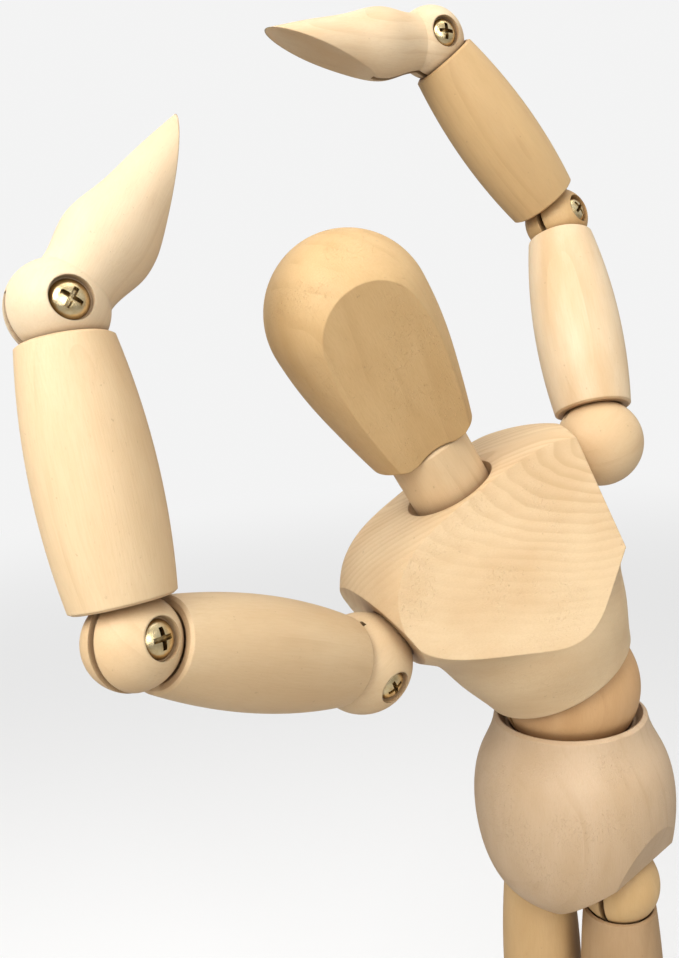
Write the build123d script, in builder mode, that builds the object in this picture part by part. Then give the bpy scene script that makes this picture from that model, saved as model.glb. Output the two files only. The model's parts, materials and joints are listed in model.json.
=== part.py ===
"""Jointed wooden artist mannequin on a round stand, posed with raised arms. Millimetres, +Z up."""
import os
from math import sqrt

from build123d import *

os.makedirs("parts", exist_ok=True)

# ---------------------------------------------------------------- stand
base_radius = 42.0
base_height = 12.0
base_edge = 2.0
rod_radius = 1.5
rod_offset = 9.0
rod_socket_depth = 8.0
rod_play = 0.05

# ---------------------------------------------------------------- torso
rim_height = 179.0
pelvis_turn = -10.0
pelvis_depth = 37.2
pelvis_rim_radius = 14.4
pelvis_belly_radius = 18.8
pelvis_belly_drop = 21.0
crotch_rise = 0.68
side_facet_offset = 16.5
rod_reach = 19.0
waist_rise = 5.4
waist_radius = 13.3
waist_spigot_radius = 2.5
waist_spigot_length = 5.5
chest_turn = 63.6
chest_lean = -26.7
chest_nod = -6.2
chest_foot_rise = 4.8
chest_foot_radius = 14.8
chest_top_rise = 47.0
chest_block_turn = -9.0
chest_seats = {"right": (24.3, 0.0), "left": (22.2, 20.0)}
chest_seat_tilt = 6.0
chest_front_low = 18.0
chest_front_lean = 0.25
shoulder_spread = 32.0
shoulder_rise = 33.2
shoulder_set_back = -0.9

# ---------------------------------------------------------------- neck and head
neck_radius = 7.1
neck_half_length = 5.3
neck_rise = 51.2
neck_share = 0.62
neck_slot_length = 10.4
neck_azimuth = -112.6
head_climb = 58.8
face_azimuth = -41.5
head_base_rise = 5.6
head_base_radius = 9.5
head_radius = 13.2
head_centre_rise = 31.0
face_offset = 8.7
face_slope = 9.0

# ---------------------------------------------------------------- arms
shoulder_radius = 8.3
elbow_radius = 6.3
wrist_radius = 6.4
upper_arm_length = 47.5
forearm_length = 42.2
hand_length = 35.2
hand_heel_rise = 10.6
hand_heel_radius = 6.2
hand_tilt = 7.4
palm_slope = 17.5
arm_headings = {
    "right": ((-97.8, 22.1), (163.0, 78.4), (81.0, 51.6)),
    "left": ((128.0, 66.6), (-127.8, 51.8), (-122.0, 2.1)),
}

# ---------------------------------------------------------------- legs
hip_spread = 8.9
hip_drop = 32.6
hip_radius = 7.6
knee_radius = 6.8
ankle_radius = 6.0
thigh_length = 52.0
shin_length = 50.0
foot_length = 34.0
foot_heel = 8.0
foot_drop = 9.5
foot_width = 12.5

# ---------------------------------------------------------------- joint hardware
joint_gap = 0.3
slot_width = 1.1
tongue_thickness = 0.8
leaf_thickness = 0.45
leaf_offset = 0.27
eye_radius = 2.2
tongue_width = 3.8
stem_radius = 0.9
washer_radius = 2.3
washer_height = 0.7
swivel_head_radius = 1.3
pin_play = 0.07
pin_reach = 4.5
screw_radius = 0.9
screw_head_radius = 2.5
screw_head_height = 1.3
counterbore_radius = 2.8
counterbore_sink = 1.9
cross_width = 0.75
cross_length = 3.0
limb_bore_radius = 2.7
spring_radius = 1.95
wire_radius = 0.3
spring_bore = 1.55
spring_pitch = 1.5
spigot_radius = 2.0
spigot_play = 0.06
rim_chamfer = 0.5
up = Vector(0, 0, 1)
turns = {"right": -1, "left": 1}


def heading(azimuth, climb):
    return Vector(1, 0, 0).rotate(Axis.Y, -climb).rotate(Axis.Z, azimuth)


def along(origin, z_dir, x_hint):
    x_dir = (x_hint - z_dir * x_hint.dot(z_dir)).normalized()
    return Plane(origin=origin, x_dir=x_dir, z_dir=z_dir)


def side_of(plane):
    return Plane(origin=plane.origin, x_dir=plane.x_dir, z_dir=-plane.y_dir)


def spin_axis(plane):
    return Axis(plane.origin, plane.z_dir)


# ---------------------------------------------------------------- skeleton
pelvis_x = heading(pelvis_turn, 0)
pelvis_y = heading(pelvis_turn + 90, 0)
rim_plane = Plane(origin=(0, 0, rim_height), x_dir=pelvis_x, z_dir=(0, 0, 1))
rod_spot = pelvis_y * rod_offset
waist_centre = Vector(0, 0, rim_height + waist_rise)
chest_z = up.rotate(Axis.X, chest_nod).rotate(Axis.Y, chest_lean).rotate(Axis.Z, chest_turn)
chest_x = Vector(1, 0, 0).rotate(Axis.Y, chest_lean).rotate(Axis.Z, chest_turn)
chest_plane = Plane(origin=waist_centre, x_dir=chest_x, z_dir=chest_z)
waist_pin_dir = up.cross(chest_z).normalized()
waist_plane = along(waist_centre, waist_pin_dir, chest_z)
waist_link_plane = along(waist_centre, chest_z, chest_z.cross(waist_pin_dir))

head_z = heading(neck_azimuth, head_climb)
neck_pin_dir = chest_z.cross(head_z).normalized()
neck_angle = chest_z.get_angle(head_z)
neck_centre = chest_plane.from_local_coords(Vector(-2.0, -2.0, neck_rise))
neck_z = chest_z.rotate(Axis(Vector(0, 0, 0), neck_pin_dir), neck_share * neck_angle)
neck_plane = along(neck_centre, neck_z, neck_pin_dir)
head_plane = along(neck_centre, head_z, heading(face_azimuth + 90, 0))
neck_link_plane = along(neck_centre, -chest_z, neck_pin_dir.cross(chest_z))
head_link_plane = along(neck_centre, head_z, neck_pin_dir.cross(head_z))

limbs = []
balls = []
screws = []
hands = []
feet = []
sockets = {}

for side, turn in turns.items():
    outward = chest_x * turn
    shoulder = chest_plane.from_local_coords(Vector(turn * shoulder_spread, shoulder_set_back, shoulder_rise))
    arm_dir, fore_dir, hand_dir = (heading(*pair) for pair in arm_headings[side])
    elbow = shoulder + arm_dir * upper_arm_length
    wrist = elbow + fore_dir * forearm_length
    shoulder_axis = arm_dir.cross(outward).normalized()
    elbow_axis = arm_dir.cross(fore_dir).normalized() * turn
    wrist_axis = fore_dir.cross(hand_dir).normalized() * turn
    sockets[side] = shoulder
    # name, start, direction, length, start ball, end ball, start pin, end pin, end radii and rises, belly
    limbs.append(("upper_arm_" + side, shoulder, arm_dir, upper_arm_length, shoulder_radius, elbow_radius,
                  shoulder_axis, elbow_axis, 6.5, 7.3, 6.4, 4.2, 8.4, 0.5, False, True))
    limbs.append(("forearm_" + side, elbow, fore_dir, forearm_length, elbow_radius, wrist_radius,
                  elbow_axis, wrist_axis, 4.9, 6.8, 6.2, 3.9, 7.8, 0.42, True, False))
    balls.append(("shoulder_ball_" + side, along(shoulder, shoulder_axis, outward), shoulder_radius,
                  False, along(shoulder, -outward, shoulder_axis)))
    balls.append(("elbow_ball_" + side, along(elbow, elbow_axis, fore_dir), elbow_radius, True, None))
    screws.append(("shoulder_screw_" + side, along(shoulder, shoulder_axis, outward), shoulder_radius))
    screws.append(("elbow_screw_" + side, along(elbow, elbow_axis, fore_dir), elbow_radius))
    screws.append(("wrist_screw_" + side, along(wrist, wrist_axis, hand_dir), wrist_radius))
    palm = wrist_axis.cross(hand_dir) * turn
    hands.append(("hand_" + side, along(wrist, hand_dir, palm), along(wrist, wrist_axis, -fore_dir)))

for side, turn in turns.items():
    hip = rim_plane.from_local_coords(Vector(turn * hip_spread, 0, -hip_drop))
    lateral = pelvis_x * turn
    knee = hip - up * thigh_length
    ankle = knee - up * shin_length
    limbs.append(("thigh_" + side, hip, -up, thigh_length, hip_radius, knee_radius,
                  lateral, lateral, 4.8, 6.8, 6.6, 4.6, 7.8, 0.36, False, True))
    limbs.append(("shin_" + side, knee, -up, shin_length, knee_radius, ankle_radius,
                  lateral, lateral, 4.8, 6.7, 6.0, 4.0, 7.1, 0.34, True, False))
    balls.append(("hip_ball_" + side, along(hip, -lateral, -up), hip_radius, False, along(hip, up, lateral)))
    balls.append(("knee_ball_" + side, along(knee, lateral, -up), knee_radius, True, None))
    screws.append(("hip_screw_" + side, along(hip, -lateral, -up), hip_radius))
    screws.append(("knee_screw_" + side, along(knee, lateral, -up), knee_radius))
    screws.append(("ankle_screw_" + side, along(ankle, lateral, -up), ankle_radius))
    feet.append(("foot_" + side, along(ankle, -up, -pelvis_y), along(ankle, lateral, up)))

# ---------------------------------------------------------------- base and rod
base_plane = Plane(origin=(0, 0, 0), x_dir=(1, 0, 0), z_dir=(0, 0, 1))
rod_foot = along(rod_spot + up * (base_height - rod_socket_depth), up, pelvis_x)
rod_top = rim_height - rod_reach
rod_length = rod_top - base_height + rod_socket_depth

with BuildPart() as base:
    with BuildSketch(base_plane):
        Circle(base_radius)
    extrude(amount=base_height)
    fillet(base.edges().group_by(Axis.Z)[-1], radius=base_edge)
    chamfer(base.edges().group_by(Axis.Z)[0], length=0.6)
    with BuildSketch(rod_foot):
        Circle(rod_radius + rod_play)
    extrude(amount=base_height, mode=Mode.SUBTRACT)
base.part.label = "base"
export_step(base.part, "parts/base.step")

with BuildPart() as rod:
    with BuildSketch(rod_foot):
        Circle(rod_radius)
    extrude(amount=rod_length)
    chamfer(rod.edges().group_by(Axis.Z)[-1], length=0.4)
rod.part.label = "rod"
export_step(rod.part, "parts/rod.step")

# ---------------------------------------------------------------- pelvis
with BuildPart() as pelvis:
    with BuildSketch(side_of(rim_plane)):
        with BuildLine():
            Line((0, 0), (pelvis_rim_radius - 0.7, 0))
            Line((pelvis_rim_radius - 0.7, 0), (pelvis_rim_radius, -0.5))
            Spline((pelvis_rim_radius, -0.5), (pelvis_rim_radius + 2.9, -7.5),
                   (pelvis_belly_radius, -pelvis_belly_drop), (pelvis_belly_radius - 3.2, -31.5),
                   (9.0, -pelvis_depth), tangents=((0.18, -1), (-1, -0.55)))
            Line((9.0, -pelvis_depth), (0, -pelvis_depth))
            Line((0, -pelvis_depth), (0, 0))
        make_face()
    revolve(axis=spin_axis(rim_plane))
    for turn in turns.values():
        seat_dir = (pelvis_x * turn * crotch_rise - up).normalized()
        seat_plane = along(Vector(0, 0, rim_height - pelvis_depth + 0.5), seat_dir, pelvis_y)
        with BuildSketch(seat_plane):
            Rectangle(80, 80)
        extrude(amount=40, mode=Mode.SUBTRACT)
        facet_dir = (pelvis_x * turn * 0.94 - pelvis_y * 0.14 - up * 0.38).normalized()
        facet_point = rim_plane.origin - up * pelvis_belly_drop + facet_dir * side_facet_offset
        with BuildSketch(along(facet_point, facet_dir, up)):
            Rectangle(60, 60)
        extrude(amount=30, mode=Mode.SUBTRACT)
    for turn in turns.values():
        hip = rim_plane.from_local_coords(Vector(turn * hip_spread, 0, -hip_drop))
        with Locations(hip):
            Sphere(hip_radius + joint_gap, mode=Mode.SUBTRACT)
        with BuildSketch(along(hip, up, pelvis_x)):
            Circle(spigot_radius + spigot_play)
        extrude(amount=hip_radius + 6.4, mode=Mode.SUBTRACT)
    with Locations(waist_centre):
        Sphere(waist_radius + joint_gap, mode=Mode.SUBTRACT)
    with BuildSketch(side_of(rim_plane)):
        with BuildLine():
            Polyline((0, 1), (pelvis_rim_radius - 0.9, 1), (pelvis_rim_radius - 0.9, -0.2),
                     (pelvis_rim_radius - 2.2, -1.6), (0, -1.6), (0, 1))
        make_face()
    revolve(axis=spin_axis(rim_plane), mode=Mode.SUBTRACT)
    with BuildSketch(Plane(origin=waist_centre, x_dir=(1, 0, 0), z_dir=(0, 0, -1))):
        Circle(waist_spigot_radius + spigot_play)
    extrude(amount=waist_radius + waist_spigot_length + 0.5, mode=Mode.SUBTRACT)
    with BuildSketch(rod_foot):
        Circle(rod_radius + rod_play)
    extrude(amount=rod_length, mode=Mode.SUBTRACT)
pelvis.part.label = "pelvis"
export_step(pelvis.part, "parts/pelvis.step")

# ---------------------------------------------------------------- waist ball, pin and link
with BuildPart() as waist_ball:
    with Locations(waist_centre):
        Sphere(waist_radius)
    with BuildSketch(Plane(origin=waist_centre, x_dir=(1, 0, 0), z_dir=(0, 0, -1))):
        Circle(waist_spigot_radius)
    extrude(amount=waist_radius + waist_spigot_length)
    with BuildSketch(waist_plane.offset(-slot_width / 2)):
        with Locations((10, 0)):
            Rectangle(26, 40)
    extrude(amount=slot_width, mode=Mode.SUBTRACT)
    with BuildSketch(waist_plane.offset(-waist_radius)):
        Circle(screw_radius)
    extrude(amount=waist_radius + pin_reach + 0.4, mode=Mode.SUBTRACT)
waist_ball.part.label = "waist_ball"
export_step(waist_ball.part, "parts/waist_ball.step")

with BuildPart() as waist_pin:
    with BuildSketch(waist_plane.offset(-waist_radius + 0.6)):
        Circle(screw_radius)
    extrude(amount=waist_radius - 0.6 + pin_reach)
waist_pin.part.label = "waist_pin"
export_step(waist_pin.part, "parts/waist_pin.step")

# ---------------------------------------------------------------- chest
chest_side = side_of(chest_plane)
block_x = chest_x.rotate(Axis((0, 0, 0), chest_z), chest_block_turn)
block_plane = Plane(origin=waist_centre, x_dir=block_x, z_dir=chest_z)
with BuildPart() as chest:
    with BuildSketch(chest_side):
        with BuildLine():
            Line((0, chest_foot_rise), (chest_foot_radius - 0.4, chest_foot_rise))
            Line((chest_foot_radius - 0.4, chest_foot_rise), (chest_foot_radius, chest_foot_rise + 0.4))
            Spline((chest_foot_radius, chest_foot_rise + 0.4), (17.8, 14.0), (19.7, 20.5), (24.4, 26.5),
                   (28.4, 33.0), (26.2, 40.5), (20.0, 45.3), (10.0, chest_top_rise),
                   tangents=((0.28, 1), (-1, 0.1)))
            Line((10.0, chest_top_rise), (0, chest_top_rise))
            Line((0, chest_top_rise), (0, chest_foot_rise))
        make_face()
    revolve(axis=spin_axis(chest_plane))
    for face in (-1, 1):
        front_dir = (block_plane.y_dir * face + chest_z * chest_front_lean).normalized()
        front_point = block_plane.from_local_coords(Vector(0, face * chest_front_low, 20))
        with BuildSketch(along(front_point, front_dir, block_x)):
            Rectangle(90, 90)
        extrude(amount=30, mode=Mode.SUBTRACT)
    for side, turn in turns.items():
        seat_offset, seat_yaw = chest_seats[side]
        seat_dir = block_x.rotate(Axis((0, 0, 0), block_plane.y_dir), chest_seat_tilt * turn) * turn
        seat_dir = seat_dir.rotate(Axis((0, 0, 0), chest_z), -seat_yaw * turn)
        seat_point = block_plane.from_local_coords(Vector(turn * seat_offset, 0, shoulder_rise))
        with BuildSketch(along(seat_point, seat_dir, block_plane.y_dir)):
            Rectangle(90, 90)
        extrude(amount=30, mode=Mode.SUBTRACT)
    for side, turn in turns.items():
        with Locations(sockets[side]):
            Sphere(shoulder_radius + joint_gap, mode=Mode.SUBTRACT)
        with BuildSketch(along(sockets[side], chest_x * -turn, chest_z)):
            Circle(spigot_radius + spigot_play)
        extrude(amount=shoulder_radius + 6.4, mode=Mode.SUBTRACT)
    with Locations(waist_centre):
        Sphere(waist_radius + joint_gap, mode=Mode.SUBTRACT)
    with Locations(neck_centre):
        Sphere(sqrt(neck_radius ** 2 + neck_half_length ** 2) + joint_gap, mode=Mode.SUBTRACT)
    with BuildSketch(chest_plane):
        Circle(limb_bore_radius)
    extrude(amount=waist_radius + 4.2, mode=Mode.SUBTRACT)
    with BuildSketch(chest_plane):
        Circle(stem_radius + pin_play)
    extrude(amount=waist_radius + 7.2, mode=Mode.SUBTRACT)
    with BuildSketch(along(neck_centre, -chest_z, chest_x)):
        Circle(limb_bore_radius)
    extrude(amount=13.0, mode=Mode.SUBTRACT)
    with BuildSketch(along(neck_centre, -chest_z, chest_x)):
        Circle(stem_radius + pin_play)
    extrude(amount=17.0, mode=Mode.SUBTRACT)
chest.part.label = "chest"
export_step(chest.part, "parts/chest.step")

# ---------------------------------------------------------------- neck and its pin
with BuildPart() as neck:
    with Locations(neck_centre):
        Sphere(sqrt(neck_radius ** 2 + neck_half_length ** 2) - 0.05)
    with BuildSketch(neck_plane.offset(-15)):
        Circle(neck_radius)
    extrude(amount=30, mode=Mode.INTERSECT)
    with BuildSketch(along(neck_centre, neck_pin_dir, neck_z).offset(-slot_width / 2)):
        Rectangle(30, neck_slot_length)
    extrude(amount=slot_width, mode=Mode.SUBTRACT)
    with BuildSketch(along(neck_centre, neck_pin_dir, neck_z).offset(-15)):
        Circle(screw_radius)
    extrude(amount=15 + pin_reach + 0.4, mode=Mode.SUBTRACT)
neck.part.label = "neck"
export_step(neck.part, "parts/neck.step")

with BuildPart() as neck_pin:
    with BuildSketch(along(neck_centre, neck_pin_dir, neck_z).offset(-neck_radius + 0.5)):
        Circle(screw_radius)
    extrude(amount=neck_radius - 0.5 + pin_reach)
neck_pin.part.label = "neck_pin"
export_step(neck_pin.part, "parts/neck_pin.step")

# ---------------------------------------------------------------- head
head_side = side_of(head_plane)
with BuildPart() as head:
    with BuildSketch(head_side):
        with BuildLine():
            Line((0, head_base_rise), (head_base_radius - 1.0, head_base_rise))
            Line((head_base_radius - 1.0, head_base_rise), (head_base_radius, head_base_rise + 0.8))
            Spline((head_base_radius, head_base_rise + 0.8), (11.3, 14.5), (12.7, 22.5),
                   (head_radius, head_centre_rise), tangents=((0.25, 1), (0, 1)))
            RadiusArc((head_radius, head_centre_rise), (0, head_centre_rise + head_radius), -head_radius)
            Line((0, head_centre_rise + head_radius), (0, head_base_rise))
        make_face()
    revolve(axis=spin_axis(head_plane))
    face_dir = (head_plane.y_dir * -1).rotate(Axis((0, 0, 0), head_plane.x_dir), face_slope)
    face_point = head_plane.from_local_coords(Vector(0, -face_offset, 20))
    with BuildSketch(along(face_point, face_dir, head_z)):
        Rectangle(70, 70)
    extrude(amount=20, mode=Mode.SUBTRACT)
    with Locations(neck_centre):
        Sphere(sqrt(neck_radius ** 2 + neck_half_length ** 2) + joint_gap, mode=Mode.SUBTRACT)
    with BuildSketch(head_plane):
        Circle(limb_bore_radius)
    extrude(amount=13.0, mode=Mode.SUBTRACT)
    with BuildSketch(head_plane):
        Circle(stem_radius + pin_play)
    extrude(amount=17.0, mode=Mode.SUBTRACT)
head.part.label = "head"
export_step(head.part, "parts/head.step")

# ---------------------------------------------------------------- torso links
links = (
    ("waist_link", waist_link_plane, waist_pin_dir, waist_radius + 6.6, tongue_thickness, 0),
    ("neck_link", neck_link_plane, neck_pin_dir, 16.4, leaf_thickness, leaf_offset),
    ("head_link", head_link_plane, neck_pin_dir, 16.4, leaf_thickness, -leaf_offset),
)
for name, plane, pin_dir, reach, thickness, offset in links:
    leaf_plane = along(plane.origin + pin_dir * (offset - thickness / 2), pin_dir, plane.z_dir)
    with BuildPart() as link:
        with BuildSketch(leaf_plane):
            Circle(eye_radius)
            with Locations((reach / 2 - 2, 0)):
                Rectangle(reach - 4, tongue_width)
            Circle(screw_radius + pin_play, mode=Mode.SUBTRACT)
        extrude(amount=thickness)
        with BuildSketch(plane.offset(reach - 6)):
            Circle(stem_radius)
        extrude(amount=6)
    link.part.label = name
    export_step(link.part, f"parts/{name}.step")

# ---------------------------------------------------------------- turned limbs, tongues and springs
for (name, start, direction, length, start_ball, end_ball, start_pin, end_pin, start_rise, start_rim,
     end_rim, end_rise, belly, belly_at, start_leaf, end_leaf) in limbs:
    plane = along(start, direction, start_pin)
    end_plane = along(start + direction * length, -direction, end_pin)
    bore = limb_bore_radius
    with BuildPart() as limb:
        with BuildSketch(side_of(plane)):
            with BuildLine():
                Line((0, start_rise), (start_rim - rim_chamfer, start_rise))
                Line((start_rim - rim_chamfer, start_rise), (start_rim, start_rise + 0.6 * rim_chamfer))
                Spline((start_rim, start_rise + 0.6 * rim_chamfer), (belly, belly_at * length),
                       (end_rim, length - end_rise - 0.6 * rim_chamfer))
                Line((end_rim, length - end_rise - 0.6 * rim_chamfer),
                     (end_rim - rim_chamfer, length - end_rise))
                Line((end_rim - rim_chamfer, length - end_rise), (0, length - end_rise))
                Line((0, length - end_rise), (0, start_rise))
            make_face()
        revolve(axis=spin_axis(plane))
        with Locations(plane.origin):
            Sphere(start_ball + joint_gap, mode=Mode.SUBTRACT)
        with Locations(end_plane.origin):
            Sphere(end_ball + joint_gap, mode=Mode.SUBTRACT)
        with BuildSketch(plane):
            Circle(bore)
        extrude(amount=length, mode=Mode.SUBTRACT)
    limb.part.label = name
    export_step(limb.part, f"parts/{name}.step")

    neck_at = start_ball + 1.9
    washer_at = neck_at + 2.4
    thickness = leaf_thickness if start_leaf else tongue_thickness
    offset = -leaf_offset if start_leaf else 0
    leaf_plane = along(start + start_pin * (offset - thickness / 2), start_pin, direction)
    with BuildPart() as tongue:
        with BuildSketch(leaf_plane):
            Circle(eye_radius)
            with Locations((neck_at / 2, 0)):
                Rectangle(neck_at, tongue_width)
            Circle(screw_radius + pin_play, mode=Mode.SUBTRACT)
        extrude(amount=thickness)
        with BuildSketch(plane.offset(neck_at - 1.4)):
            Circle(stem_radius)
        extrude(amount=washer_at + washer_height + 0.9 - neck_at + 1.4)
        with BuildSketch(plane.offset(washer_at + washer_height + 0.1)):
            Circle(swivel_head_radius)
        extrude(amount=0.8)
    tongue.part.label = name + "_tongue"
    export_step(tongue.part, f"parts/{name}_tongue.step")

    far_neck = end_ball + 1.9
    far_washer = far_neck + 1.6
    thickness = leaf_thickness if end_leaf else tongue_thickness
    offset = leaf_offset if end_leaf else 0
    far_leaf = along(end_plane.origin + end_pin * (offset - thickness / 2), end_pin, -direction)
    coil_low = washer_at + washer_height
    coil_high = length - far_washer
    coils = int((coil_high - coil_low) / spring_pitch)
    pitch = (coil_high - coil_low) / coils
    with BuildPart() as spring:
        with BuildSketch(side_of(plane)):
            with BuildLine():
                for turn in range(coils):
                    low = coil_low + turn * pitch
                    ThreePointArc((spring_radius, low), (spring_radius + wire_radius, low + pitch / 2),
                                  (spring_radius, low + pitch))
                Polyline((spring_radius, coil_high), (spring_bore, coil_high), (spring_bore, coil_low),
                         (spring_radius, coil_low))
            make_face()
        revolve(axis=spin_axis(plane))
        with BuildSketch(plane.offset(washer_at)):
            Circle(washer_radius)
            Circle(stem_radius + pin_play, mode=Mode.SUBTRACT)
        extrude(amount=washer_height)
        with BuildSketch(end_plane.offset(far_washer)):
            Circle(washer_radius)
        extrude(amount=washer_height)
        with BuildSketch(end_plane.offset(far_neck - 1.4)):
            Circle(stem_radius)
        extrude(amount=far_washer - far_neck + 1.5)
        with BuildSketch(far_leaf):
            Circle(eye_radius)
            with Locations((far_neck / 2, 0)):
                Rectangle(far_neck, tongue_width)
            Circle(screw_radius + pin_play, mode=Mode.SUBTRACT)
        extrude(amount=thickness)
    spring.part.label = name + "_spring"
    export_step(spring.part, f"parts/{name}_spring.step")

# ---------------------------------------------------------------- joint balls
for name, plane, radius, through, spigot_plane in balls:
    floor = sqrt(radius ** 2 - counterbore_radius ** 2) - counterbore_sink + 0.7
    with BuildPart() as ball:
        with BuildSketch(side_of(plane)):
            with BuildLine():
                mouth = sqrt(radius ** 2 - counterbore_radius ** 2)
                RadiusArc((0, -radius), (radius, 0), -radius)
                RadiusArc((radius, 0), (counterbore_radius, mouth), -radius)
                Polyline((counterbore_radius, mouth), (counterbore_radius, floor),
                         (screw_radius, floor), (screw_radius, -radius * 0.8), (0, -radius * 0.8),
                         (0, -radius))
            make_face()
        revolve(axis=spin_axis(plane))
        if spigot_plane is not None:
            with BuildSketch(spigot_plane):
                Circle(spigot_radius)
            extrude(amount=radius + 6.0)
        with BuildSketch(plane.offset(-slot_width / 2)):
            with Locations((0 if through else 15 - eye_radius - 0.5, 0)):
                Rectangle(30, 30)
        extrude(amount=slot_width, mode=Mode.SUBTRACT)
    ball.part.label = name
    export_step(ball.part, f"parts/{name}.step")

# ---------------------------------------------------------------- cross-head screws
for name, plane, radius in screws:
    floor = sqrt(radius ** 2 - counterbore_radius ** 2) - counterbore_sink + 0.7
    seat_plane = plane.offset(floor)
    with BuildPart() as screw:
        with BuildSketch(side_of(seat_plane)):
            with BuildLine():
                Line((0, 0), (screw_head_radius, 0))
                Line((screw_head_radius, 0), (screw_head_radius, 0.35))
                ThreePointArc((screw_head_radius, 0.35), (screw_head_radius * 0.68, 1.02),
                              (0, screw_head_height))
                Line((0, screw_head_height), (0, 0))
            make_face()
        revolve(axis=spin_axis(seat_plane))
        with BuildSketch(plane.offset(-radius * 0.8 + 0.4)):
            Circle(screw_radius)
        extrude(amount=floor + radius * 0.8 - 0.3)
        with BuildSketch(seat_plane.offset(screw_head_height + 0.2)):
            Rectangle(cross_length, cross_width)
            Rectangle(cross_width, cross_length)
        extrude(amount=-1.1, taper=9, mode=Mode.SUBTRACT)
    screw.part.label = name
    export_step(screw.part, f"parts/{name}.step")

# ---------------------------------------------------------------- hands
for name, plane, ball_plane in hands:
    blank_dir = plane.z_dir.rotate(Axis((0, 0, 0), plane.y_dir), hand_tilt)
    blank_plane = along(plane.origin, blank_dir, plane.x_dir)
    floor = sqrt(wrist_radius ** 2 - counterbore_radius ** 2) - counterbore_sink + 0.7
    with BuildPart() as hand:
        with BuildSketch(side_of(blank_plane)):
            with BuildLine():
                Line((0, 2.0), (5.4, 2.0))
                Spline((5.4, 2.0), (5.2, 5.4), (hand_heel_radius, hand_heel_rise), (5.3, 17.0),
                       (4.4, 24.5), (3.4, 31.5), (1.6, 37.0), (0, 38.2))
                Line((0, 38.2), (0, 2.0))
            make_face()
        revolve(axis=spin_axis(blank_plane))
        palm_dir = plane.x_dir.rotate(Axis((0, 0, 0), plane.y_dir), -palm_slope)
        palm_point = plane.from_local_coords(Vector(0.5, 0, hand_length))
        with BuildSketch(along(palm_point, palm_dir, plane.z_dir)):
            Rectangle(90, 60)
        extrude(amount=30, mode=Mode.SUBTRACT)
        with Locations(plane.origin):
            Sphere(wrist_radius)
        with BuildSketch(ball_plane.offset(-slot_width / 2)):
            with Locations((15 - eye_radius - 0.5, 0)):
                Rectangle(30, 30)
        extrude(amount=slot_width, mode=Mode.SUBTRACT)
        with BuildSketch(ball_plane.offset(-wrist_radius * 0.8)):
            Circle(screw_radius)
        extrude(amount=2 * wrist_radius, mode=Mode.SUBTRACT)
        with BuildSketch(ball_plane.offset(floor)):
            Circle(counterbore_radius)
        extrude(amount=wrist_radius, mode=Mode.SUBTRACT)
    hand.part.label = name
    export_step(hand.part, f"parts/{name}.step")

# ---------------------------------------------------------------- feet
for name, plane, ball_plane in feet:
    floor = sqrt(ankle_radius ** 2 - counterbore_radius ** 2) - counterbore_sink + 0.7
    sole = plane.offset(foot_drop)
    with BuildPart() as foot:
        with BuildSketch(sole):
            with Locations((foot_length / 2 - foot_heel, 0)):
                SlotOverall(foot_length, foot_width)
        extrude(amount=-8.6, taper=9)
        top_dir = (plane.x_dir * 0.42 + up).normalized()
        top_point = plane.origin + plane.x_dir * 4.2 - up * 3.2
        with BuildSketch(along(top_point, top_dir, pelvis_x)):
            Rectangle(40, 60)
        extrude(amount=20, mode=Mode.SUBTRACT)
        with Locations(plane.origin):
            Sphere(ankle_radius)
        with BuildSketch(ball_plane.offset(-slot_width / 2)):
            with Locations((15 - eye_radius - 0.5, 0)):
                Rectangle(30, 30)
        extrude(amount=slot_width, mode=Mode.SUBTRACT)
        with BuildSketch(ball_plane.offset(-ankle_radius * 0.8)):
            Circle(screw_radius)
        extrude(amount=2 * ankle_radius, mode=Mode.SUBTRACT)
        with BuildSketch(ball_plane.offset(floor)):
            Circle(counterbore_radius)
        extrude(amount=ankle_radius + 3, mode=Mode.SUBTRACT)
    foot.part.label = name
    export_step(foot.part, f"parts/{name}.step")
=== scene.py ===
import json
from math import radians

import bpy
from mathutils import Matrix, Vector


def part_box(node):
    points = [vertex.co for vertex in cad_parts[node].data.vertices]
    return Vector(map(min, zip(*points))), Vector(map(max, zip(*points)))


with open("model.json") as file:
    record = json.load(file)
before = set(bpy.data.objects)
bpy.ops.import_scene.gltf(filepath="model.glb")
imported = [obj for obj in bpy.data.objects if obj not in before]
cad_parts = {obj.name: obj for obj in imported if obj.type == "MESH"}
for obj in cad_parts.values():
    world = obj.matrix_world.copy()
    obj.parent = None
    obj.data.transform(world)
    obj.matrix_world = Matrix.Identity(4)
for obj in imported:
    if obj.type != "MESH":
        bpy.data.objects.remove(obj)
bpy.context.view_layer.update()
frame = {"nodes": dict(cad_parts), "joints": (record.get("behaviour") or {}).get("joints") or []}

nodes = frame["nodes"]
joints = {j["name"]: j for j in frame["joints"]}
scene = bpy.context.scene

MM_PER_M = 1000.0
WHITE = (1.0, 1.0, 1.0, 1.0)
WARM_WHITE = (1.0, 0.985, 0.96)
PORE_BROWN = (0.36, 0.22, 0.12, 1.0)
SPECK_BROWN = (0.30, 0.17, 0.09, 1.0)
# painted shade colour, multiplied into the wood where pieces meet and in hollows
PAINTED_GAP_SHADE = (0.26, 0.15, 0.08, 1.0)
# painted shade colour for the metal's recesses
PAINTED_RECESS_SHADE = (0.10, 0.06, 0.03, 1.0)
LATE_WOOD_TINT = (0.72, 0.62, 0.52)
FIBRE_TINT = (0.86, 0.8, 0.72)
TORN_BRIGHTNESS = 1.22
# how far the painted shade reaches into gaps and recesses, in wood and then in metal
WOOD_SHADE_REACH = 0.004
METAL_SHADE_REACH = 0.0012
EDGE_ROUNDING = 0.00035
WOOD_BUMP_DEPTH = 0.00010
METAL_BUMP_DEPTH = 0.00004


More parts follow.
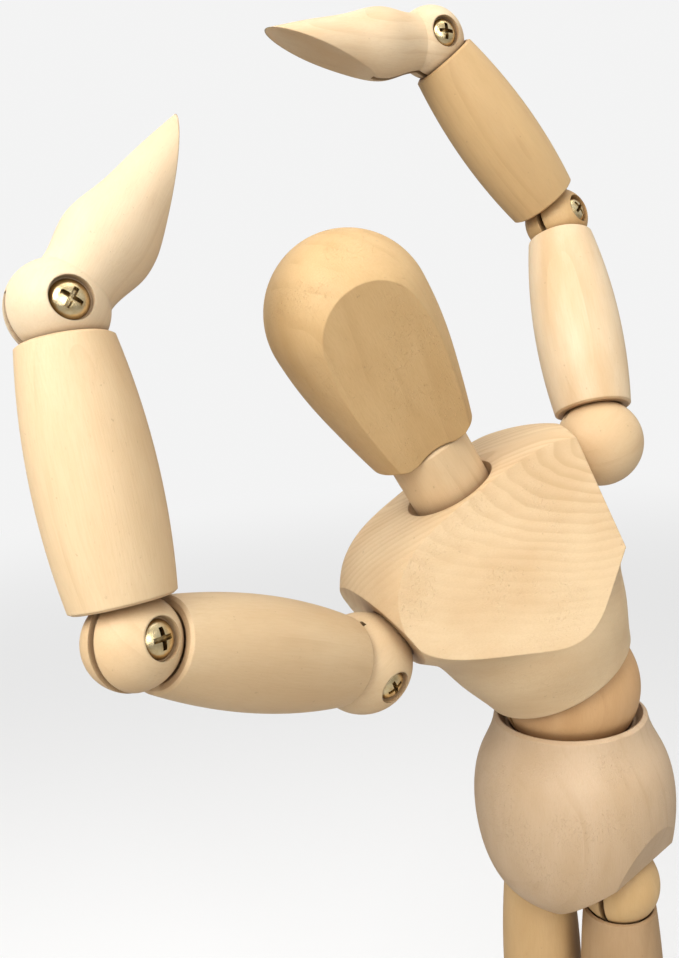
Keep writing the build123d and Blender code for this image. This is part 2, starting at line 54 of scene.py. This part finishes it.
# ------------------------------------------------------------ shader helpers
class Net:
    """Builds one material's node tree with short calls."""

    def __init__(self, name):
        self.mat = bpy.data.materials.new(name)
        self.mat.use_nodes = True
        self.tree = self.mat.node_tree
        self.tree.nodes.clear()

    def node(self, kind, **settings):
        n = self.tree.nodes.new(kind)
        for key, value in settings.items():
            setattr(n, key, value)
        return n

    def put(self, socket, value):
        if hasattr(value, "is_output"):
            self.tree.links.new(value, socket)
        else:
            socket.default_value = value

    def math(self, op, a, b=0.0, c=0.0, clamp=False):
        n = self.node("ShaderNodeMath", operation=op, use_clamp=clamp)
        for socket, value in zip(n.inputs, (a, b, c)):
            self.put(socket, value)
        return n.outputs[0]

    def vec(self, op, a, b=(0, 0, 0)):
        n = self.node("ShaderNodeVectorMath", operation=op)
        self.put(n.inputs[0], a)
        self.put(n.inputs[1], b)
        return n.outputs["Value"] if op in ("LENGTH", "DOT_PRODUCT") else n.outputs[0]

    def mapped(self, coords, scale):
        n = self.node("ShaderNodeMapping")
        self.put(n.inputs["Vector"], coords)
        self.put(n.inputs["Scale"], scale)
        return n.outputs[0]

    def noise(self, coords, scale, detail=4.0, rough=0.55, distort=0.0):
        n = self.node("ShaderNodeTexNoise")
        self.put(n.inputs["Vector"], coords)
        self.put(n.inputs["Scale"], scale)
        self.put(n.inputs["Detail"], detail)
        self.put(n.inputs["Roughness"], rough)
        self.put(n.inputs["Distortion"], distort)
        return n.outputs["Fac"]

    def smooth(self, value, lo, hi, a=0.0, b=1.0):
        n = self.node("ShaderNodeMapRange", interpolation_type="SMOOTHSTEP")
        for socket, v in zip(n.inputs, (value, lo, hi, a, b)):
            self.put(socket, v)
        return n.outputs[0]

    def mix(self, fac, a, b, blend="MIX"):
        n = self.node("ShaderNodeMix", data_type="RGBA", blend_type=blend)
        self.put(n.inputs[0], fac)
        self.put(n.inputs[6], a)
        self.put(n.inputs[7], b)
        return n.outputs[2]

    def bump(self, height, distance, strength=1.0, normal=None):
        n = self.node("ShaderNodeBump")
        self.put(n.inputs["Height"], height)
        self.put(n.inputs["Distance"], distance)
        self.put(n.inputs["Strength"], strength)
        if normal is not None:
            self.put(n.inputs["Normal"], normal)
        return n.outputs[0]


def local_coords(net, origin, axis, spin=0.0):
    """Object coordinates in millimetres, with Z along the given axis and the origin at the given point."""
    z = Vector(axis).normalized()
    x = z.orthogonal().normalized()
    y = z.cross(x)
    turn = Matrix.Rotation(spin, 3, "Z") @ Matrix((x, y, z))
    shift = net.node("ShaderNodeVectorMath", operation="SUBTRACT")
    net.put(shift.inputs[0], net.node("ShaderNodeTexCoord").outputs["Object"])
    net.put(shift.inputs[1], tuple(origin))
    m = net.node("ShaderNodeMapping")
    net.put(m.inputs["Vector"], shift.outputs[0])
    net.put(m.inputs["Rotation"], tuple(turn.to_euler("XYZ")))
    big = net.node("ShaderNodeVectorMath", operation="SCALE")
    net.put(big.inputs[0], m.outputs[0])
    net.put(big.inputs["Scale"], MM_PER_M)
    return big.outputs[0]


def tinted(colour, factors):
    """The colour with its three channels scaled, none above white."""
    return tuple(min(1.0, c * f) for c, f in zip(colour, factors)) + (1.0,)


def wood(name, origin, axis, seed, light, dark, pith, rings, ring_amount,
         rough_patches=0.0, turning=0.5, spin=0.0, centred=False):
    """Turned wood with its grain along the axis. Pith and ring spacing are in millimetres."""
    net = Net(name)
    p = local_coords(net, origin, axis, spin)
    offset = (seed * 3.7, seed * 1.9, seed * 5.3)
    q = net.vec("ADD", p, offset)
    # slow change of shade over the piece
    broad = net.noise(net.mapped(q, (1.0, 1.0, 0.35)), 0.09, 3.0)
    # growth rings around the pith
    wander = net.noise(net.mapped(q, (1.0, 1.0, 0.18)), 0.12, 2.0)
    sep = net.node("ShaderNodeSeparateXYZ")
    net.put(sep.inputs[0], p)
    dx = net.math("SUBTRACT", sep.outputs[0], pith[0])
    dy = net.math("SUBTRACT", sep.outputs[1], pith[1])
    radius = net.math("SQRT", net.math("ADD", net.math("MULTIPLY", dx, dx), net.math("MULTIPLY", dy, dy)))
    radius = net.math("ADD", radius, net.math("MULTIPLY", wander, 2.6))
    phase = net.math("FRACT", net.math("DIVIDE", radius, rings))
    late = net.smooth(phase, 0.55, 0.98)
    late = net.math("SUBTRACT", late, net.smooth(phase, 0.985, 1.0))
    strength = net.noise(net.mapped(q, (1.0, 1.0, 0.3)), 0.16, 2.0)
    if centred:
        # growth rings seen end on: unbroken lines that fade away from their centre
        late = net.math("SUBTRACT", net.smooth(phase, 0.2, 0.85), net.smooth(phase, 0.88, 1.0))
        late = net.math("MULTIPLY", late, net.smooth(radius, 5.0, 34.0, 1.0, 0.12))
        late = net.math("MULTIPLY", late, net.smooth(strength, 0.30, 0.62, 0.55, 1.0))
    else:
        late = net.math("MULTIPLY", late, net.smooth(strength, 0.42, 0.68))
    # fine fibres and pores drawn out along the grain
    fibre = net.noise(net.mapped(q, (4.2, 4.2, 0.22)), 1.0, 4.0, 0.6)
    pores = net.noise(net.mapped(q, (7.5, 7.5, 0.75)), 1.0, 2.0, 0.5)
    pore = net.smooth(pores, 0.69, 0.78)
    speck = net.noise(q, 1.1, 2.0, 0.5)
    speck = net.smooth(speck, 0.72, 0.78)
    colour = net.mix(net.smooth(broad, 0.3, 0.72), light, dark)
    colour = net.mix(net.math("MULTIPLY", late, ring_amount), colour, tinted(dark, LATE_WOOD_TINT))
    colour = net.mix(net.smooth(fibre, 0.35, 0.7, 0.0, 0.16), colour, tinted(dark, FIBRE_TINT))
    colour = net.mix(net.math("MULTIPLY", pore, 0.30), colour, PORE_BROWN)
    colour = net.mix(net.math("MULTIPLY", speck, 0.28), colour, SPECK_BROWN)
    height = net.math("ADD", net.math("MULTIPLY", fibre, 0.5), net.math("MULTIPLY", pore, -0.5))
    # faint marks left by the turning tool, round the axis
    along = net.math("ADD", sep.outputs[2], net.math("MULTIPLY", wander, 0.6))
    groove = net.math("SINE", net.math("MULTIPLY", along, 7.0))
    patchy = net.smooth(net.noise(q, 0.13, 2.0), 0.45, 0.7)
    tool_marks = net.math("MULTIPLY", net.math("MULTIPLY", groove, patchy), 0.12 * turning)
    height = net.math("ADD", height, tool_marks)
    rough = net.math("ADD", 0.46, net.math("MULTIPLY", fibre, 0.16))
    if rough_patches:
        # torn fibres on cut faces
        where = net.smooth(net.noise(net.vec("ADD", q, (31.0, 7.0, 3.0)), 0.11, 3.0, 0.6), 0.46, 0.60)
        fuzz = net.noise(net.mapped(q, (1.3, 1.3, 0.9)), 2.6, 3.0, 0.6, 0.8)
        torn = net.math("MULTIPLY", net.smooth(fuzz, 0.58, 0.68), where)
        height = net.math("ADD", height, net.math("MULTIPLY", torn, 2.2 * rough_patches))
        pale_torn = tinted(light, (TORN_BRIGHTNESS,) * 3)
        colour = net.mix(net.math("MULTIPLY", torn, 0.5 * rough_patches), colour, pale_torn)
        rough = net.math("ADD", rough, net.math("MULTIPLY", torn, 0.2))
    # painted shade where pieces meet and in hollows: ambient occlusion darkens the wood's colour
    cavity = net.node("ShaderNodeAmbientOcclusion", samples=6)
    net.put(cavity.inputs["Distance"], WOOD_SHADE_REACH)
    shade = net.smooth(cavity.outputs["AO"], 0.25, 0.9, 0.55, 0.0)
    colour = net.mix(shade, colour, PAINTED_GAP_SHADE, "MULTIPLY")
    bevel = net.node("ShaderNodeBevel", samples=4)
    net.put(bevel.inputs["Radius"], EDGE_ROUNDING)
    normal = net.bump(height, WOOD_BUMP_DEPTH, 0.6, bevel.outputs[0])
    bsdf = net.node("ShaderNodeBsdfPrincipled")
    net.put(bsdf.inputs["Base Color"], colour)
    net.put(bsdf.inputs["Roughness"], rough)
    net.put(bsdf.inputs["Normal"], normal)
    net.put(bsdf.inputs["Specular IOR Level"], 0.38)
    net.put(bsdf.inputs["Subsurface Weight"], 0.06)
    net.put(bsdf.inputs["Subsurface Radius"], (1.0, 0.5, 0.25))
    net.put(bsdf.inputs["Subsurface Scale"], 0.0012)
    out = net.node("ShaderNodeOutputMaterial")
    net.put(out.inputs["Surface"], bsdf.outputs[0])
    return net.mat


def metal(name, light, dark, rough):
    """Bright metal, a little clouded and scratched, with painted shade in its recesses."""
    net = Net(name)
    p = net.mapped(net.node("ShaderNodeTexCoord").outputs["Object"], (MM_PER_M,) * 3)
    cloud = net.noise(p, 0.9, 4.0)
    fine = net.noise(net.mapped(p, (1.0, 6.0, 1.0)), 4.0, 3.0)
    cavity = net.node("ShaderNodeAmbientOcclusion", samples=6)
    net.put(cavity.inputs["Distance"], METAL_SHADE_REACH)
    colour = net.mix(net.smooth(cloud, 0.35, 0.7), light, dark)
    # painted shade: ambient occlusion darkens the metal's colour in its recesses
    colour = net.mix(net.smooth(cavity.outputs["AO"], 0.2, 0.85, 0.75, 0.0), colour, PAINTED_RECESS_SHADE)
    bsdf = net.node("ShaderNodeBsdfPrincipled")
    net.put(bsdf.inputs["Base Color"], colour)
    net.put(bsdf.inputs["Metallic"], 1.0)
    net.put(bsdf.inputs["Roughness"], net.math("ADD", rough, net.math("MULTIPLY", fine, 0.14)))
    net.put(bsdf.inputs["Normal"], net.bump(net.math("ADD", cloud, fine), METAL_BUMP_DEPTH, 0.5))
    out = net.node("ShaderNodeOutputMaterial")
    net.put(out.inputs["Surface"], bsdf.outputs[0])
    return net.mat


def dress(node, material):
    mesh = nodes[node].data
    mesh.materials.clear()
    mesh.materials.append(material)


def joint_line(name):
    j = joints[name]
    return Vector(j["pos_m"]), Vector(j["axis"])


def middle(node):
    lo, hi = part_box(node)
    return (lo + hi) / 2


# ------------------------------------------------------------ colours of the single pieces
CREAM = (0.76, 0.570, 0.345, 1.0)
CREAM_DARK = (0.68, 0.475, 0.265, 1.0)
PALE = (0.80, 0.640, 0.435, 1.0)
PALE_DARK = (0.73, 0.550, 0.350, 1.0)
HONEY = (0.66, 0.445, 0.215, 1.0)
HONEY_DARK = (0.57, 0.360, 0.155, 1.0)
TAN = (0.60, 0.440, 0.285, 1.0)
UMBER = (0.46, 0.300, 0.160, 1.0)
UMBER_DARK = (0.39, 0.245, 0.120, 1.0)
OCHRE = (0.58, 0.385, 0.185, 1.0)
OCHRE_DARK = (0.50, 0.315, 0.140, 1.0)
TAN_DARK = (0.53, 0.370, 0.220, 1.0)
AMBER = (0.66, 0.41, 0.205, 1.0)
AMBER_DARK = (0.57, 0.335, 0.150, 1.0)

brass = metal("brass", (0.92, 0.76, 0.46, 1.0), (0.74, 0.56, 0.28, 1.0), 0.16)
steel = metal("steel", (0.60, 0.60, 0.61, 1.0), (0.48, 0.48, 0.50, 1.0), 0.30)

head_at, head_axis = joint_line("head_turn")
chest_at, chest_axis = joint_line("chest_turn")
dress("head", wood("head_wood", head_at, head_axis, 1, HONEY, HONEY_DARK,
                   pith=(26.0, 10.0), rings=3.4, ring_amount=0.25, rough_patches=1.1))
dress("neck", wood("neck_wood", head_at, head_axis, 2, CREAM, CREAM_DARK,
                   pith=(22.0, 18.0), rings=2.2, ring_amount=0.3))

# the chest block was cut so that its rings show end on, round a point near the far shoulder
shoulders = joint_line("shoulder_swivel_left")[0] - joint_line("shoulder_swivel_right")[0]
across = shoulders.normalized()
forward = across.cross(chest_axis).normalized()
heart = chest_at + across * 0.020 + forward * 0.014 + chest_axis * 0.040
chest_grain = across * 0.72 + forward * 0.66 - chest_axis * 0.2
dress("chest", wood("chest_wood", heart, chest_grain, 3, CREAM, CREAM_DARK,
                    pith=(0.5, 0.4), rings=1.5, ring_amount=0.36, rough_patches=0.7,
                    turning=0.1, centred=True))
dress("waist_ball", wood("waist_wood", chest_at, (0, 0, 1), 4, AMBER, AMBER_DARK,
                         pith=(20.0, 22.0), rings=2.8, ring_amount=0.3))
dress("pelvis", wood("pelvis_wood", middle("pelvis"), (0, 0, 1), 5, TAN, TAN_DARK,
                     pith=(60.0, 24.0), rings=2.6, ring_amount=0.2, rough_patches=0.8))
dress("base", wood("base_wood", middle("base"), (1, 0, 0), 6, CREAM, CREAM_DARK,
                   pith=(3.0, 30.0), rings=3.0, ring_amount=0.5, turning=0.0))

# light and dark shade of each limb piece
cream = (CREAM, CREAM_DARK)
honey = (HONEY, HONEY_DARK)
tones = {
    "right": {
        "shoulder_ball": cream,
        "upper_arm": cream,
        "elbow_ball": cream,
        "forearm": cream,
        "hand": (PALE, PALE_DARK),
        "hip_ball": cream,
        "thigh": (OCHRE, OCHRE_DARK),
        "knee_ball": cream,
        "shin": cream,
        "foot": cream,
    },
    "left": {
        "shoulder_ball": cream,
        "upper_arm": (PALE, CREAM_DARK),
        "elbow_ball": honey,
        "forearm": (HONEY, OCHRE),
        "hand": (PALE, CREAM_DARK),
        "hip_ball": honey,
        "thigh": (UMBER, UMBER_DARK),
        "knee_ball": cream,
        "shin": (PALE, CREAM_DARK),
        "foot": cream,
    },
}
# the joint whose axis the grain of each piece follows
grain = {
    "shoulder_ball": "shoulder_swivel",
    "upper_arm": "upper_arm_turn",
    "elbow_ball": "upper_arm_turn",
    "forearm": "forearm_turn",
    "hip_ball": "hip_swivel",
    "thigh": "thigh_turn",
    "knee_ball": "thigh_turn",
    "shin": "shin_turn",
}
seed = 7
for side in ("right", "left"):
    for part, (light, dark) in tones[side].items():
        node = part + "_" + side
        if part in grain:
            at, axis = joint_line(grain[part] + "_" + side)
        else:
            at = joint_line(("wrist_" if part == "hand" else "ankle_") + side)[0]
            axis = middle(node) - at if part == "hand" else Vector((0, 1, 0))
        seed += 1
        pith = (24.0 + 3 * (seed % 4), 20.0 - 5 * (seed % 3))
        rings = 2.0 + 0.25 * (seed % 5)
        turning = 1.0 if "ball" in part else 0.4
        dress(node, wood(node + "_wood", at, axis, seed, light, dark,
                         pith=pith, rings=rings, ring_amount=0.22, turning=turning, spin=seed * 1.3))

for node in nodes:
    if "screw" in node:
        dress(node, brass)
    elif any(word in node for word in ("tongue", "spring", "link", "pin", "rod")):
        dress(node, steel)

for obj in nodes.values():
    obj.data.shade_smooth()

# ------------------------------------------------------------ stage
BACK_LEVEL = 0.90
FLOOR_SIZE = 12.0
FLOOR_DROP = 0.0002
bpy.ops.mesh.primitive_plane_add(size=FLOOR_SIZE, location=(0, 0, -FLOOR_DROP))
floor = bpy.context.object
floor.name = "floor"
paper = Net("floor_pale")
near_paper = paper.node("ShaderNodeBsdfDiffuse")
paper.put(near_paper.inputs["Color"], (0.88, 0.88, 0.88, 1.0))
far_paper = paper.node("ShaderNodeEmission")
paper.put(far_paper.inputs["Strength"], BACK_LEVEL)
dull_paper = paper.node("ShaderNodeBsdfDiffuse")
paper.put(dull_paper.inputs["Color"], (0.42, 0.41, 0.40, 1.0))
spread = paper.vec("LENGTH", paper.node("ShaderNodeNewGeometry").outputs["Position"])
fade = paper.node("ShaderNodeMixShader")
paper.put(fade.inputs[0], paper.smooth(spread, 0.25, 1.3))
paper.put(fade.inputs[1], near_paper.outputs[0])
paper.put(fade.inputs[2], far_paper.outputs[0])
sight = paper.node("ShaderNodeMixShader")
paper.put(sight.inputs[0], paper.node("ShaderNodeLightPath").outputs["Is Camera Ray"])
paper.put(sight.inputs[1], dull_paper.outputs[0])
paper.put(sight.inputs[2], fade.outputs[0])
paper.put(paper.node("ShaderNodeOutputMaterial").inputs["Surface"], sight.outputs[0])
floor.data.materials.append(paper.mat)

world = bpy.data.worlds.new("studio")
scene.world = world
world.use_nodes = True
tree = world.node_tree
tree.nodes.clear()
# the sky is white overhead and greyer low down, so that undersides stay darker than tops
sky_way = tree.nodes.new("ShaderNodeTexCoord")
sky_split = tree.nodes.new("ShaderNodeSeparateXYZ")
tree.links.new(sky_way.outputs["Generated"], sky_split.inputs[0])
sky_level = tree.nodes.new("ShaderNodeMapRange")
for socket, level in zip(sky_level.inputs, (0.5, -0.4, 0.8, 0.22, 0.74)):
    socket.default_value = level
tree.links.new(sky_split.outputs["Z"], sky_level.inputs[0])
sky = tree.nodes.new("ShaderNodeBackground")
sky.inputs["Color"].default_value = WHITE
tree.links.new(sky_level.outputs[0], sky.inputs["Strength"])
plain_back = tree.nodes.new("ShaderNodeBackground")
plain_back.inputs["Color"].default_value = WHITE
plain_back.inputs["Strength"].default_value = BACK_LEVEL
seen = tree.nodes.new("ShaderNodeLightPath")
either = tree.nodes.new("ShaderNodeMixShader")
tree.links.new(seen.outputs["Is Camera Ray"], either.inputs[0])
tree.links.new(sky.outputs[0], either.inputs[1])
tree.links.new(plain_back.outputs[0], either.inputs[2])
world_out = tree.nodes.new("ShaderNodeOutputWorld")
tree.links.new(either.outputs[0], world_out.inputs["Surface"])


def softbox(name, place, target, size, power, colour=(1.0, 1.0, 1.0)):
    data = bpy.data.lights.new(name, "AREA")
    data.shape = "SQUARE"
    data.size = size
    data.energy = power
    data.color = colour
    lamp = bpy.data.objects.new(name, data)
    scene.collection.objects.link(lamp)
    lamp.location = place
    lamp.rotation_mode = "QUATERNION"
    lamp.rotation_quaternion = (Vector(target) - Vector(place)).to_track_quat("-Z", "Y")
    return lamp


softbox("key_light", (-0.06, -0.50, 0.62), (-0.01, -0.02, 0.30), size=0.40, power=3.6, colour=WARM_WHITE)
softbox("fill_light", (0.34, -0.36, 0.40), (-0.01, -0.02, 0.28), size=0.30, power=0.9, colour=WARM_WHITE)
softbox("top_light", (0.1, 0.1, 0.9), (0, 0, 0.2), size=0.4, power=1.0)

# ------------------------------------------------------------ camera
# degrees: heading of the view round +Z, its climb, and the roll of the picture
VIEW_AZIMUTH = 120.184
VIEW_CLIMB = -9.621
VIEW_ROLL = -4.468
CAMERA_PLACE = (0.056777, -0.162356, 0.254080)
ahead = Vector((1, 0, 0))
ahead.rotate(Matrix.Rotation(radians(-VIEW_CLIMB), 3, "Y"))
ahead.rotate(Matrix.Rotation(radians(VIEW_AZIMUTH), 3, "Z"))
right = ahead.cross(Vector((0, 0, 1))).normalized()
right.rotate(Matrix.Rotation(radians(-VIEW_ROLL), 3, ahead))
above = right.cross(ahead)
camera_data = bpy.data.cameras.new("camera")
camera = bpy.data.objects.new("camera", camera_data)
scene.collection.objects.link(camera)
pose = Matrix((right, above, -ahead)).transposed().to_4x4()
pose.translation = Vector(CAMERA_PLACE)
camera.matrix_world = pose
camera_data.sensor_fit = "AUTO"
camera_data.sensor_width = 36.0
camera_data.lens = 35.335
camera_data.shift_x = -0.0425
camera_data.shift_y = 0.0044
camera_data.clip_start = 0.005
camera_data.clip_end = 50.0
scene.camera = camera

scene.view_settings.view_transform = "Standard"
scene.view_settings.look = "None"
scene.view_settings.exposure = 0.0
